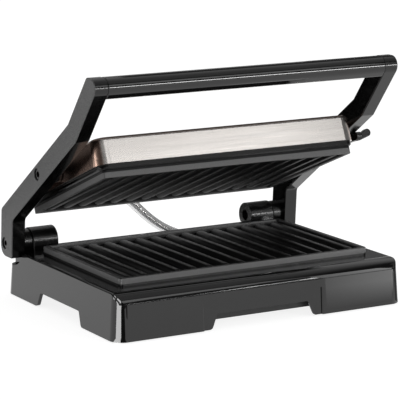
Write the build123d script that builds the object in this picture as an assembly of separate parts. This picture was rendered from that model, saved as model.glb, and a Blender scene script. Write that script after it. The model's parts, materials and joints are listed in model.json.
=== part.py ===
from build123d import *
from math import asin, cos, degrees, radians, sin, sqrt, tan
import os

# Panini press: a base with a ribbed plate, two arms with a handle bar, and a floating upper head.
# Millimetres. X to the right, Y to the back, Z up. The pieces are drawn about the middle of the base's
# footprint on the table, and moved at the end so that the origin is the middle of the whole press's box.

# Grill plates
plate_width = 230.0
plate_depth = 137.0
plate_corner_radius = 3.0
plate_face_height = 6.2
plate_rim = 3.6
plate_well = 4.0
well_draft = 18.0
rib_pitch = 14.8
rib_width = 9.2
rib_height = 3.5
rib_draft = 24.0
rib_top_radius = 3.2
rib_end_gap = 1.6
rib_side_gap = 1.0
plate_seat = 4.5
skirt_depth = 3.6
skirt_wall = 2.6
plate_boss_length = 8.0
plate_boss_inset_x = 31.0
plate_boss_inset_y = 26.5
plate_boss_spacing_x = plate_width - 2 * plate_boss_inset_x
plate_boss_spacing_y = plate_depth - 2 * plate_boss_inset_y
plate_gap_closed = 0.6

# Base housing
base_side_margin = 18.0
base_front_margin = 27.13
hinge_behind_plate = 23.17
hinge_inset = 10.7
base_width = plate_width + 2 * base_side_margin
base_depth = base_front_margin + plate_depth + hinge_behind_plate + hinge_inset
base_corner_radius = 11.0
wall_draft = 4.0
housing_wall = 3.0
deck_height = 38.0
lip_drop = 8.0
roll_depth = 14.0
ledge_width = 1.2
ledge_drop = 0.9
leg_block = 20.0
notch_height = 13.0
notch_flare = 5.0
notch_corner_radius = 2.0
crown_edge_radius = 1.2
leg_toe_radius = 3.5
front_notch_width = 84.0
side_notch_width = 69.0
recess_width = 109.0
recess_top = 23.4
recess_depth = 1.6
recess_edge_radius = 1.3

# Feet
foot_diameter = 12.0
foot_height = 2.2
foot_proud = 1.0

# Bottom cover
cover_flange_bottom = 14.0
cover_flange_thickness = 2.0
pan_bottom = 6.6
pan_side_gap = 26.0
pan_front_gap = 9.0
pan_rear_gap = 24.0
pan_wall = 2.0
boss_diameter = 8.0
boss_inset_x = 14.0
boss_inset_y = 44.0
boss_spacing_x = base_width - 2 * boss_inset_x
boss_spacing_y = base_depth - 2 * boss_inset_y

# Heating parts
heater_diameter = 6.4
heater_inset_x = 48.0
heater_inset_y = 37.5
heater_bend_radius = 16.0
heater_terminal_length = 26.0
reflector_thickness = 0.8
reflector_margin = 9.0
reflector_lip = 3.0
thermostat_diameter = 15.0
thermostat_height = 6.0
thermostat_y = -14.0
terminal_block_size = (34.0, 20.0, 13.0)
terminal_block_place = (-58.0, 38.0)

# Hinge
hinge_above_deck = 7.0
knuckle_radius = 11.0
knuckle_length = 23.0
knuckle_hole_diameter = 9.6
knuckle_hole_depth = 7.0
hinge_edge_radius = 0.8
collar_radius = 10.2
collar_length = 9.3
hinge_pin_diameter = 7.4
pin_clearance = 0.1
running_gap = 0.3
same_place = 0.01

# Arms and handle
arm_side_gap = 6.8
arm_thickness = 12.2
arm_width = 17.5
pivot_to_rear_edge = 7.4
diagonal_angle = 35.0
diagonal_length = 72.0
top_angle = 51.5
top_to_rear_edge = 7.9
top_width = 17.8
foot_front = 13.9
foot_width = 21.5
foot_below_hinge = 11.0
foot_lean = 4.0
foot_heel_radius = 9.0
foot_toe_radius = 2.0
bend_radius = 5.0
arm_edge_radius = 0.8
relief_clearance = 1.4
handle_rise = 88.95
handle_height = 16.7
handle_nose_radius = 8.0
handle_corner_radius = 3.0
handle_end_radius = 0.5
spigot_diameter = 8.0
spigot_length = 6.0
screw_recess_diameter = 10.0
screw_recess_depth = 4.0

# Head
pivot_rest_angle = 46.9
head_tilt = 21.84
pivot_above_rim = 20.7
pivot_behind_middle = 0.75
bezel_side_margin = 2.0
bezel_end_margin = 2.5
bezel_corner_radius = 6.0
bezel_height = 4.2
bezel_upstand = 3.6
bezel_upstand_wall = 1.8
cover_side_overhang = 2.5
cover_end_overhang = 2.0
top_cover_corner_radius = 11.0
top_cover_height = 21.8
top_cover_draft = 2.5
top_cover_edge_radius = 3.0
sheet_thickness = 1.2
bracket_thickness = 3.0
bracket_length = 44.0
bracket_height = 18.0
pivot_screw_diameter = 8.0
pivot_thread_diameter = 5.0
pivot_head_height = 3.0
pivot_bush_wall = 1.6
pivot_spacer_diameter = 16.0
lamp_diameter = 7.0
lamp_spacing = 22.0
lamp_from_front = 24.0
lamp_edge_radius = 0.9

# Lock lever
lever_hub_radius = 8.0
lever_thickness = 5.0
lever_angle = 18.6
lever_length = 43.7
lever_width = 7.0
lever_tab_reach = 9.5
lever_tab_rise = 3.8
lever_tab_root_radius = 2.2
lever_tab_tip_radius = 3.3
lever_tab_depth = 5.5
lever_edge_radius = 0.8

# Conduit between the base and the head
conduit_diameter = 8.5
conduit_ferrule_diameter = 11.5
conduit_head_x = -46.0
conduit_head_height = 20.0
conduit_head_direction = (0.5, 0.804, -0.322)
conduit_head_reach = 8.0
conduit_head_run = 20.0
conduit_base_x = 68.0
conduit_base_height = 19.0
conduit_base_direction = (-0.759, 0.601, 0.253)
conduit_base_reach = 13.0
conduit_base_run = 16.0
gland_flange_diameter = 18.0
gland_flange_height = 2.5
conduit_points = [(-8.0, 126.0, 68.5), (22.0, 123.0, 38.0)]
conduit_upper_count = 3
conduit_bend_ratio = 0.45

# Mains inlet and small fasteners
cord_gland_x = -62.0
cord_gland_height = 26.0
cord_gland_diameter = 15.0
cord_gland_bore = 7.0
cord_gland_length = 12.0
screw_diameter = 3.0
screw_head_diameter = 6.0
screw_head_height = 1.8
screw_length = 10.0

# Places worked out from the driving dimensions
hinge_y = base_depth / 2 - hinge_inset
hinge_z = deck_height + hinge_above_deck
lip_height = deck_height - lip_drop
plate_y = hinge_y - hinge_behind_plate - plate_depth / 2
roll_start = base_depth / 2 - roll_depth
pan_width = base_width - 2 * pan_side_gap
rim_height = deck_height + plate_face_height
well_width = plate_width - 2 * plate_rim
well_depth = plate_depth - 2 * plate_rim
opening_width = plate_width - 2 * plate_seat
opening_depth = plate_depth - 2 * plate_seat
plate_screw_depth = plate_boss_length - running_gap
bezel_width = plate_width + 2 * bezel_side_margin
bezel_depth = plate_depth + 2 * bezel_end_margin
top_cover_width = bezel_width + 2 * cover_side_overhang
top_cover_depth = bezel_depth + 2 * cover_end_overhang
cover_base = plate_face_height + bezel_height
arm_inner_x = top_cover_width / 2 + arm_side_gap
arm_outer_x = arm_inner_x + arm_thickness
knuckle_outer_x = arm_inner_x - collar_length
knuckle_inner_x = knuckle_outer_x - knuckle_length

# The head's pivot: with the plates closed it is this far in front of the hinge and above it
closed_reach = hinge_y - plate_y - pivot_behind_middle
closed_rise = rim_height + plate_gap_closed + pivot_above_rim - hinge_z
pivot_radius = sqrt(closed_reach**2 + closed_rise**2)
closed_angle = degrees(asin(closed_rise / pivot_radius))
pivot_y = hinge_y - pivot_radius * cos(radians(pivot_rest_angle))
pivot_z = hinge_z + pivot_radius * sin(radians(pivot_rest_angle))

# The head's own frame: rim plane at zero, height upwards, depth to the back
head_place = (Pos(0, pivot_y, pivot_z) * Rot(-head_tilt, 0, 0)
              * Pos(0, -pivot_behind_middle, -pivot_above_rim))


def draft_inset(height, draft):
    """How far a drafted wall has moved inwards at a height above its foot."""
    return height * tan(radians(draft))


def tapered_block(width, depth, radius, bottom, top, draft):
    """Block with rounded corners whose four walls lean inwards going up."""
    outline = RectangleRounded(width, depth, radius)
    return Pos(0, 0, bottom) * extrude(outline, top - bottom, taper=draft)


def housing_block(inset, bottom, top):
    """The housing's drafted form, with every wall moved inwards by inset."""
    spread = draft_inset(bottom - foot_proud, wall_draft)
    width = base_width - 2 * (inset + spread)
    depth = base_depth - 2 * (inset + spread)
    return tapered_block(width, depth, base_corner_radius - inset, bottom, top, wall_draft)


def top_envelope(offset):
    """Space under the deck and its rolled front edge, lowered by offset along the surface."""
    lip_inset = draft_inset(lip_height - foot_proud, wall_draft) + ledge_width
    roll_run = base_depth / 2 - lip_inset - roll_start
    drop = deck_height - lip_height
    roll_radius = (roll_run**2 + drop**2) / (2 * drop)
    turn = asin(roll_run / roll_radius)
    radius = roll_radius - offset
    start = (-roll_start, deck_height - offset)
    end = (-roll_start - radius * sin(turn), deck_height - roll_radius + radius * cos(turn))
    front = -base_depth
    back = base_depth
    lines = [
        TangentArc(start, end, tangent=(-1, 0)),
        Line(end, (front, end[1])),
        Line((front, end[1]), (front, -deck_height)),
        Line((front, -deck_height), (back, -deck_height)),
        Line((back, -deck_height), (back, start[1])),
        Line((back, start[1]), start),
    ]
    return extrude(Plane.YZ * make_face(Curve() + lines), base_width, both=True)


def along_x(profile, low, high):
    """Profile given in (Y, Z), extruded from one X to another."""
    return Pos(low, 0, 0) * extrude(Plane.YZ * profile, high - low)


def rod_x(radius, y, z, low, high):
    """Round rod along X."""
    return along_x(Pos(y, z) * Circle(radius), low, high)


def mirrored(part):
    """The same piece on the other side."""
    return mirror(part, about=Plane.YZ)


def corner_places(spacing_x, spacing_y):
    """Four places on a rectangle."""
    return [(sx * spacing_x / 2, sy * spacing_y / 2) for sx in (-1, 1) for sy in (-1, 1)]


def notch_profile(width):
    """Arched gap between two legs: flared sides, rounded corners and rounded leg toes."""
    half_top = width / 2
    half_foot = half_top + notch_flare
    far = half_foot + 4 * leg_toe_radius
    low = foot_proud - 2 * leg_toe_radius
    half = [(half_top, notch_height), (half_foot, foot_proud), (far, foot_proud), (far, low)]
    outline = half + [(-x, z) for x, z in reversed(half)]
    face = make_face(Polyline(outline, close=True))
    tops = face.vertices().group_by(Axis.Y)[-1]
    face = fillet(tops, notch_corner_radius)
    toes = [v for v in face.vertices() if abs(abs(v.X) - half_foot) < same_place]
    return fillet(toes, leg_toe_radius)


def arm_relief(grow):
    """Hollow in the rear corners that the arms' feet turn in, grown by a wall."""
    reach = sqrt(foot_front**2 + foot_below_hinge**2) + relief_clearance + grow
    low = arm_inner_x - relief_clearance - grow
    high = base_width
    scoop = rod_x(reach, hinge_y, hinge_z, low, high)
    collar_reach = collar_radius + relief_clearance / 2 + grow
    groove = rod_x(collar_reach, hinge_y, hinge_z, knuckle_outer_x - grow, arm_inner_x)
    behind = Pos(low, hinge_y, hinge_z - reach) * Box(
        high - low, base_depth, 4 * reach, align=(Align.MIN, Align.MIN, Align.MIN))
    right = scoop + groove + behind
    return right + mirrored(right)


def make_base_housing():
    """Moulded tub: drafted walls on four legs, a deck with an opening, and a rolled front edge."""
    walls = housing_block(0, foot_proud, deck_height) & top_envelope(ledge_drop)
    crown = housing_block(ledge_width, foot_proud, deck_height)
    crown = fillet(crown.edges().group_by(Axis.Z)[-1], crown_edge_radius) & top_envelope(0)
    body = walls + crown

    cavity = housing_block(housing_wall, foot_proud, deck_height) & top_envelope(housing_wall)
    legs = [Pos(x, y, foot_proud) * Box(2 * leg_block, 2 * leg_block, notch_height + foot_proud,
                                        align=(Align.CENTER, Align.CENTER, Align.MIN))
            for x, y in corner_places(base_width, base_depth)]
    bosses = [Pos(x, y, cover_flange_bottom + cover_flange_thickness)
              * Cylinder(boss_diameter / 2, deck_height, align=(Align.CENTER, Align.CENTER, Align.MIN))
              for x, y in corner_places(boss_spacing_x, boss_spacing_y)]
    cavity = cavity - legs - bosses - arm_relief(housing_wall)
    body = body - cavity - arm_relief(0)

    opening = Pos(0, plate_y, deck_height) * extrude(
        RectangleRounded(opening_width, opening_depth, plate_corner_radius), 2 * housing_wall, both=True)
    body = body - opening

    front_and_rear = extrude(Plane.XZ * notch_profile(front_notch_width), base_depth, both=True)
    sides = extrude(Plane.YZ * notch_profile(side_notch_width), base_width, both=True)
    legs_only = housing_block(0, foot_proud, notch_height + foot_proud)
    core = Pos(0, 0, foot_proud) * Box(base_width - 4 * housing_wall, base_depth - 4 * housing_wall,
                                       2 * notch_height)
    body = body - (front_and_rear & (legs_only - core)) - (sides & (legs_only - core))

    recess_box = Pos(0, -base_depth / 2, 0) * Box(recess_width, base_depth / 2, 2 * recess_top)
    body = body - (recess_box - housing_block(recess_depth, 0.0, deck_height))
    ends = [edge for edge in body.edges().filter_by(GeomType.LINE)
            if abs(abs(edge.center().X) - recess_width / 2) < same_place and edge.length > recess_top / 2]
    body = fillet(ShapeList(ends).group_by(Axis.Y)[0], recess_edge_radius)

    for x, y in corner_places(base_width - leg_block, base_depth - leg_block):
        body = body - Pos(x, y, foot_proud) * Cylinder(
            foot_diameter / 2, 2 * (foot_height - foot_proud))
    for x, y in corner_places(boss_spacing_x, boss_spacing_y):
        body = body - Pos(x, y, cover_flange_bottom) * Cylinder(
            screw_diameter / 2 + pin_clearance, 2 * (screw_length + cover_flange_thickness))

    gland_hole = Pos(cord_gland_x, base_depth / 2, cord_gland_height) * Rot(90, 0, 0) * Cylinder(
        cord_gland_diameter / 2, 8 * housing_wall)
    lead_hole = Pos(conduit_base_x, base_depth / 2, conduit_base_height) * Rot(90, 0, 0) * Cylinder(
        conduit_diameter / 2, 8 * housing_wall)
    return body - gland_hole - lead_hole


def make_base_feet():
    """Four rubber pads let into the legs."""
    foot = Cylinder(foot_diameter / 2, foot_height, align=(Align.CENTER, Align.CENTER, Align.MIN))
    foot = fillet(foot.edges().group_by(Axis.Z)[0], foot_proud / 2)
    return [Pos(x, y, 0) * foot for x, y in corner_places(base_width - leg_block, base_depth - leg_block)]


def make_bottom_cover():
    """Cover under the housing: a flange between the legs and a shallow pan that hangs below it."""
    flange_top = cover_flange_bottom + cover_flange_thickness
    flange = housing_block(housing_wall + running_gap, cover_flange_bottom, flange_top)
    for x, y in corner_places(base_width, base_depth):
        flange = flange - Pos(x, y, flange_top) * Box(
            2 * (leg_block + running_gap), 2 * (leg_block + running_gap), 4 * cover_flange_thickness)
    pan_front = -base_depth / 2 + pan_front_gap
    pan_back = base_depth / 2 - pan_rear_gap
    pan_depth = pan_back - pan_front
    middle = (pan_front + pan_back) / 2
    radius = base_corner_radius
    height = flange_top - pan_bottom
    pan = Pos(0, middle, flange_top) * extrude(
        RectangleRounded(pan_width, pan_depth, radius), -height, taper=wall_draft)
    hollow = Pos(0, middle, flange_top) * extrude(
        RectangleRounded(pan_width - 2 * pan_wall, pan_depth - 2 * pan_wall, radius - pan_wall),
        -(height - pan_wall), taper=wall_draft)
    cover = flange + pan - hollow
    for x, y in corner_places(boss_spacing_x, boss_spacing_y):
        cover = cover - Pos(x, y, flange_top) * Cylinder(
            screw_diameter / 2 + pin_clearance, 4 * cover_flange_thickness)
    return cover


def small_screw(length):
    """Pan-head screw: head below zero, shank upwards."""
    head = Cylinder(screw_head_diameter / 2, screw_head_height,
                    align=(Align.CENTER, Align.CENTER, Align.MAX))
    head = fillet(head.edges().group_by(Axis.Z)[0], screw_head_height / 3)
    return head + Cylinder(screw_diameter / 2, length, align=(Align.CENTER, Align.CENTER, Align.MIN))


def make_bottom_cover_screws():
    """Four screws from below into the housing's bosses."""
    return [Pos(x, y, cover_flange_bottom) * small_screw(screw_length)
            for x, y in corner_places(boss_spacing_x, boss_spacing_y)]


def grill_plate():
    """Cast plate, rim plane at zero and body below: a rim, a well with ribs, a skirt and four bosses."""
    body = Pos(0, 0, -plate_face_height) * extrude(
        RectangleRounded(plate_width, plate_depth, plate_corner_radius), plate_face_height)
    skirt = Pos(0, 0, -plate_face_height) * extrude(
        RectangleRounded(opening_width - 2 * running_gap, opening_depth - 2 * running_gap,
                         plate_corner_radius), -skirt_depth)
    skirt_core = Pos(0, 0, -plate_face_height) * extrude(
        RectangleRounded(opening_width - 2 * skirt_wall, opening_depth - 2 * skirt_wall,
                         plate_corner_radius), -skirt_depth)
    well = extrude(RectangleRounded(well_width, well_depth, plate_corner_radius), -plate_well,
                   taper=well_draft)
    body = body + (skirt - skirt_core) - well
    rib_length = well_depth - 2 * (draft_inset(plate_well, well_draft) + rib_end_gap)
    slot = Rot(0, 0, 90) * SlotOverall(rib_length, rib_width)
    rib = Pos(0, 0, -plate_well) * extrude(slot, rib_height, taper=rib_draft)
    rib = fillet(rib.edges().group_by(Axis.Z)[-1], rib_top_radius)
    room = well_width - 2 * (draft_inset(plate_well, well_draft) + rib_side_gap) - rib_width
    spaces = int(room / rib_pitch)
    ribs = [Pos((i - spaces / 2) * rib_pitch, 0, 0) * rib for i in range(spaces + 1)]
    body = body + ribs
    for x, y in corner_places(plate_boss_spacing_x, plate_boss_spacing_y):
        boss = Pos(x, y, -plate_face_height) * Cylinder(
            boss_diameter / 2, plate_boss_length, align=(Align.CENTER, Align.CENTER, Align.MAX))
        hole = Pos(x, y, -plate_face_height - plate_boss_length) * Cylinder(
            screw_diameter / 2 + pin_clearance, 2 * plate_screw_depth)
        body = body + boss - hole
    return body


def heating_element():
    """Tubular heater bent to a flat loop under the plate, with two straight terminals."""
    level = -plate_face_height - heater_diameter / 2 - pin_clearance
    half_x = plate_width / 2 - heater_inset_x
    half_y = plate_depth / 2 - heater_inset_y
    terminal = half_x / 3
    corners = [
        (-terminal, half_y - heater_terminal_length, level), (-terminal, half_y, level),
        (-half_x, half_y, level), (-half_x, -half_y, level), (half_x, -half_y, level),
        (half_x, half_y, level), (terminal, half_y, level),
        (terminal, half_y - heater_terminal_length, level),
    ]
    radii = [heater_bend_radius] * (len(corners) - 2)
    path = FilletPolyline(*corners, radius=radii)
    return tube(path, heater_diameter)


def tube(path, diameter):
    """Round bar swept along a path."""
    section = Plane(origin=path @ 0, z_dir=path % 0) * Circle(diameter / 2)
    return sweep(section, path=path)


def reflector():
    """Bright sheet behind the heater, held on the plate's four bosses, with an upturned lip."""
    top = -plate_face_height - plate_boss_length
    width = plate_boss_spacing_x + 2 * reflector_margin
    depth = plate_boss_spacing_y + 2 * reflector_margin
    sheet = Pos(0, 0, top) * extrude(
        RectangleRounded(width, depth, plate_corner_radius), -reflector_thickness)
    ring = RectangleRounded(width, depth, plate_corner_radius) - RectangleRounded(
        width - 2 * reflector_thickness, depth - 2 * reflector_thickness,
        plate_corner_radius - reflector_thickness)
    sheet = sheet + Pos(0, 0, top) * extrude(ring, reflector_lip)
    for x, y in corner_places(plate_boss_spacing_x, plate_boss_spacing_y):
        sheet = sheet - Pos(x, y, top) * Cylinder(screw_diameter / 2 + pin_clearance, reflector_lip)
    return sheet


def plate_screws():
    """Four screws through the reflector into the plate's bosses."""
    seat = -plate_face_height - plate_boss_length - reflector_thickness
    length = plate_screw_depth + reflector_thickness - running_gap
    return [Pos(x, y, seat) * small_screw(length)
            for x, y in corner_places(plate_boss_spacing_x, plate_boss_spacing_y)]


def thermostat():
    """Snap-disc thermostat seated on the plate's back, with its two tabs."""
    can = Pos(0, thermostat_y, -plate_face_height) * Cylinder(
        thermostat_diameter / 2, thermostat_height, align=(Align.CENTER, Align.CENTER, Align.MAX))
    tab_width = thermostat_diameter / 4
    tab = Box(thermostat_diameter * 2, tab_width, reflector_thickness)
    return can + Pos(0, thermostat_y, -plate_face_height - thermostat_height / 2) * tab


def make_terminal_block():
    """Block on the bottom cover where the leads meet, with three wire holes."""
    x, y = terminal_block_place
    length, depth, height = terminal_block_size
    block = Pos(x, y, pan_bottom + pan_wall) * Box(
        length, depth, height, align=(Align.CENTER, Align.CENTER, Align.MIN))
    pitch = length / 3
    for i in (-1, 0, 1):
        block = block - Pos(x + i * pitch, y, pan_bottom + pan_wall + height / 2) * Rot(90, 0, 0) * Cylinder(
            height / 5, 2 * depth)
    return block


def make_hinge_knuckle():
    """Round knuckle on a foot on the deck, bored for the hinge pin and recessed at its inner end."""
    deck_back = base_depth / 2 - draft_inset(deck_height - foot_proud, wall_draft) - 2 * ledge_width
    foot = Polyline((hinge_y - knuckle_radius, hinge_z), (hinge_y - knuckle_radius, deck_height),
                    (deck_back, deck_height), (hinge_y + knuckle_radius, hinge_z), close=True)
    body = along_x(make_face(foot), knuckle_inner_x, knuckle_outer_x)
    body = body + rod_x(knuckle_radius, hinge_y, hinge_z, knuckle_inner_x, knuckle_outer_x)
    body = body & Pos(0, 0, deck_height) * Box(
        2 * base_width, 2 * base_depth, base_depth, align=(Align.CENTER, Align.CENTER, Align.MIN))
    ends = body.faces().sort_by(Axis.X)[0].edges() + body.faces().sort_by(Axis.X)[-1].edges()
    body = fillet([edge for edge in ends if edge.center().Z > deck_height + same_place], hinge_edge_radius)
    bore = rod_x(hinge_pin_diameter / 2 + pin_clearance, hinge_y, hinge_z,
                 knuckle_inner_x, knuckle_outer_x)
    mouth = rod_x(knuckle_hole_diameter / 2, hinge_y, hinge_z,
                  knuckle_inner_x, knuckle_inner_x + knuckle_hole_depth)
    return body - bore - mouth


def make_hinge_collar():
    """Ring on the pin between the arm and the knuckle."""
    low = knuckle_outer_x + running_gap
    ring = rod_x(collar_radius, hinge_y, hinge_z, low, arm_inner_x)
    ring = fillet(ring.edges().group_by(Axis.X)[0], hinge_edge_radius)
    return ring - rod_x(hinge_pin_diameter / 2, hinge_y, hinge_z, low, arm_inner_x)


def make_hinge_pin():
    """Headed pin fixed in the arm, turning in the knuckle."""
    seat = arm_outer_x - screw_recess_depth
    shank = rod_x(hinge_pin_diameter / 2, hinge_y, hinge_z, knuckle_inner_x + knuckle_hole_depth / 2, seat)
    head = rod_x(screw_recess_diameter / 2 - running_gap, hinge_y, hinge_z, seat, seat + pivot_head_height)
    socket = along_x(Pos(hinge_y, hinge_z) * RegularPolygon(hinge_pin_diameter / 3, 6),
                     seat + pivot_head_height / 3, arm_outer_x)
    return shank + head - socket


def crossing(point_a, angle_a, point_b, angle_b):
    """Where two lines in the (Y, Z) plane meet, each given by a point and a slope angle."""
    ay, az = cos(radians(angle_a)), sin(radians(angle_a))
    by, bz = cos(radians(angle_b)), sin(radians(angle_b))
    dy, dz = point_b[0] - point_a[0], point_b[1] - point_a[1]
    step = (dy * bz - dz * by) / (ay * bz - az * by)
    return (point_a[0] + step * ay, point_a[1] + step * az)


def moved(point, angle, along, across=0.0):
    """Point moved along a direction and then to its right."""
    y = point[0] + along * cos(radians(angle)) + across * sin(radians(angle))
    z = point[1] + along * sin(radians(angle)) - across * cos(radians(angle))
    return (y, z)


def arm_points():
    """Corners of the arm's side outline, front edge upwards and rear edge back down."""
    diagonal = 180.0 - diagonal_angle
    top = 180.0 - top_angle
    foot = 90.0 + foot_lean
    rear_edge = moved((pivot_y, pivot_z), diagonal, 0.0, pivot_to_rear_edge)
    front_edge = moved(rear_edge, diagonal, 0.0, -arm_width)
    middle = moved(rear_edge, diagonal, diagonal_length, -arm_width / 2)
    top_rear_edge = moved(middle, top, 0.0, top_to_rear_edge)
    top_front_edge = moved(top_rear_edge, top, 0.0, -top_width)
    crest = (pivot_y, pivot_z + handle_rise)
    foot_front_edge = (hinge_y - foot_front, hinge_z)
    foot_rear_edge = (hinge_y - foot_front + foot_width, hinge_z)
    sole = (hinge_y, hinge_z - foot_below_hinge)
    return {
        "toe": crossing(foot_front_edge, foot, sole, 0.0),
        "front_low_bend": crossing(foot_front_edge, foot, front_edge, diagonal),
        "front_high_bend": crossing(front_edge, diagonal, top_front_edge, top),
        "tip_front": crossing(top_front_edge, top, crest, 0.0),
        "tip_rear": crossing(top_rear_edge, top, crest, 0.0),
        "rear_high_bend": crossing(rear_edge, diagonal, top_rear_edge, top),
        "rear_low_bend": crossing(rear_edge, diagonal, foot_rear_edge, foot),
        "heel": crossing(foot_rear_edge, foot, sole, 0.0),
    }


def rounded_outline(points, radii, usual_radius):
    """Face through named corners, each rounded with its own radius or the usual one."""
    face = make_face(Polyline(list(points.values()), close=True))
    for name, point in points.items():
        corner = face.vertices().sort_by_distance(Vector(*point))[0]
        face = fillet(corner, radii.get(name, usual_radius))
    return face


def arm_profile():
    """The arm's side outline with its corners rounded."""
    radii = {"toe": foot_toe_radius, "heel": foot_heel_radius,
             "tip_front": handle_nose_radius, "tip_rear": handle_corner_radius}
    return rounded_outline(arm_points(), radii, bend_radius)


def handle_section():
    """The handle's section: the arm's rounded nose in front, a flat underside and an upright back."""
    points = arm_points()
    nose = points["tip_front"]
    back, crest = points["tip_rear"]
    underside = crest - handle_height
    corners = {
        "nose": nose,
        "back_top": (back, crest),
        "back_low": (back, underside),
        "front_low": crossing(nose, 180.0 - top_angle, (back, underside), 0.0),
    }
    return rounded_outline(corners, {"nose": handle_nose_radius}, handle_corner_radius)


def handle_middle():
    """Middle of the handle's section."""
    middle = handle_section().bounding_box().center()
    return (middle.X, middle.Y)


def make_arm():
    """Dog-legged side arm with recessed holes for the hinge pin and the pivot, and a handle socket."""
    arm = along_x(arm_profile(), arm_inner_x, arm_outer_x)
    arm = fillet(arm.faces().sort_by(Axis.X)[0].edges() + arm.faces().sort_by(Axis.X)[-1].edges(),
                 arm_edge_radius)
    arm = arm - rod_x(hinge_pin_diameter / 2, hinge_y, hinge_z, arm_inner_x, arm_outer_x)
    arm = arm - rod_x(pivot_screw_diameter / 2 + pin_clearance + pivot_bush_wall, pivot_y, pivot_z,
                      arm_inner_x, arm_outer_x - screw_recess_depth)
    for y, z in ((hinge_y, hinge_z), (pivot_y, pivot_z)):
        arm = arm - rod_x(screw_recess_diameter / 2, y, z, arm_outer_x - screw_recess_depth, arm_outer_x)
    y, z = handle_middle()
    return arm - rod_x(spigot_diameter / 2, y, z, arm_inner_x, arm_inner_x + spigot_length)


def make_handle_bar():
    """Bar between the arms with the arms' rounded nose, and a spigot at each end."""
    y, z = handle_middle()
    bar = along_x(handle_section(), -arm_inner_x, arm_inner_x)
    bar = fillet(bar.faces().sort_by(Axis.X)[0].edges() + bar.faces().sort_by(Axis.X)[-1].edges(),
                 handle_end_radius)
    reach = arm_inner_x + spigot_length
    return bar + rod_x(spigot_diameter / 2, y, z, -reach, reach)


def cover_side_x(height):
    """Outer face of the head cover's side wall at a height above the rim plane."""
    return top_cover_width / 2 - draft_inset(height - cover_base, top_cover_draft)


def make_pivot_bush():
    """Flanged bush in the arm, which also keeps the head clear of the arm."""
    seat = arm_outer_x - screw_recess_depth
    low = cover_side_x(pivot_above_rim) + running_gap
    bush = rod_x(pivot_screw_diameter / 2 + pin_clearance + pivot_bush_wall, pivot_y, pivot_z, low, seat)
    bush = bush + rod_x(pivot_spacer_diameter / 2, pivot_y, pivot_z,
                        low + draft_inset(pivot_spacer_diameter, top_cover_draft), arm_inner_x)
    return bush - rod_x(pivot_screw_diameter / 2 + pin_clearance, pivot_y, pivot_z, low, seat)


def bracket_outer_x():
    """Outer face of the pivot bracket, inside the bezel's upstand."""
    return (top_cover_width / 2 - draft_inset(bezel_upstand, top_cover_draft) - sheet_thickness
            - running_gap - bezel_upstand_wall - running_gap)


def make_pivot_screw(head_low):
    """Shoulder screw fixed in the head's bracket; its shoulder turns in the arm's bush."""
    seat = bracket_outer_x()
    shoulder = rod_x(pivot_screw_diameter / 2, pivot_y, pivot_z, seat, head_low)
    thread = rod_x(pivot_thread_diameter / 2, pivot_y, pivot_z, seat - 2 * bracket_thickness, seat)
    head = rod_x(screw_recess_diameter / 2 - running_gap, pivot_y, pivot_z,
                 head_low, head_low + pivot_head_height)
    socket = along_x(Pos(pivot_y, pivot_z) * RegularPolygon(pivot_screw_diameter / 3, 6),
                     head_low + pivot_head_height / 3, head_low + pivot_head_height)
    return shoulder + thread + head - socket


def make_lock_lever():
    """Flat lever on the outside of the right arm, with a rounded thumb tab that points outwards."""
    low = arm_outer_x + running_gap
    high = low + lever_thickness
    direction = 180.0 - lever_angle
    end = moved((pivot_y, pivot_z), direction, lever_length)
    middle = moved((pivot_y, pivot_z), direction, lever_length / 2)
    shank = Pos(*middle) * Rot(0, 0, direction) * Rectangle(lever_length, lever_width)
    outline = shank + Pos(pivot_y, pivot_z) * Circle(lever_hub_radius) + Pos(*end) * Circle(lever_width / 2)
    lever = along_x(outline, low, high)
    lever = fillet(lever.faces().sort_by(Axis.X)[-1].edges(), lever_edge_radius)
    tab_length = lever_thickness + lever_tab_reach
    root = Pos(lever_thickness / 2, -lever_tab_rise / 2) * Circle(lever_tab_root_radius)
    tip = Pos(tab_length - lever_tab_tip_radius, lever_tab_rise / 2) * Circle(lever_tab_tip_radius)
    tab = make_hull(root.edges() + tip.edges())
    tab_plane = Plane(origin=(low, end[0], end[1]), x_dir=(1, 0, 0),
                      z_dir=(0, cos(radians(direction)), sin(radians(direction))))
    tab = extrude(tab_plane * tab, lever_tab_depth / 2, both=True)
    sides = tab.faces().sort_by(Axis(tab_plane.origin, tab_plane.z_dir))
    lever = lever + fillet(sides[0].edges() + sides[-1].edges(), lever_edge_radius)
    return lever - rod_x(pivot_screw_diameter / 2 + pin_clearance, pivot_y, pivot_z, low, high)


def make_head_bezel():
    """Black frame between the upper plate and the cover, with an upstand inside the cover."""
    frame = Pos(0, 0, plate_face_height) * extrude(
        RectangleRounded(bezel_width, bezel_depth, bezel_corner_radius), bezel_height)
    frame = chamfer(frame.edges().group_by(Axis.Z)[0], bezel_height / 4)
    inset = sheet_thickness + running_gap + draft_inset(bezel_upstand, top_cover_draft)
    outer_width = top_cover_width - 2 * inset
    outer_depth = top_cover_depth - 2 * inset
    radius = top_cover_corner_radius - inset
    ring = RectangleRounded(outer_width, outer_depth, radius) - RectangleRounded(
        outer_width - 2 * bezel_upstand_wall, outer_depth - 2 * bezel_upstand_wall,
        radius - bezel_upstand_wall)
    ring = ring & RectangleRounded(bezel_width, bezel_depth, bezel_corner_radius)
    frame = frame + Pos(0, 0, cover_base) * extrude(ring, bezel_upstand)
    opening = Pos(0, 0, plate_face_height) * extrude(
        RectangleRounded(opening_width, opening_depth, plate_corner_radius), 2 * bezel_height, both=True)
    return frame - opening


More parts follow.
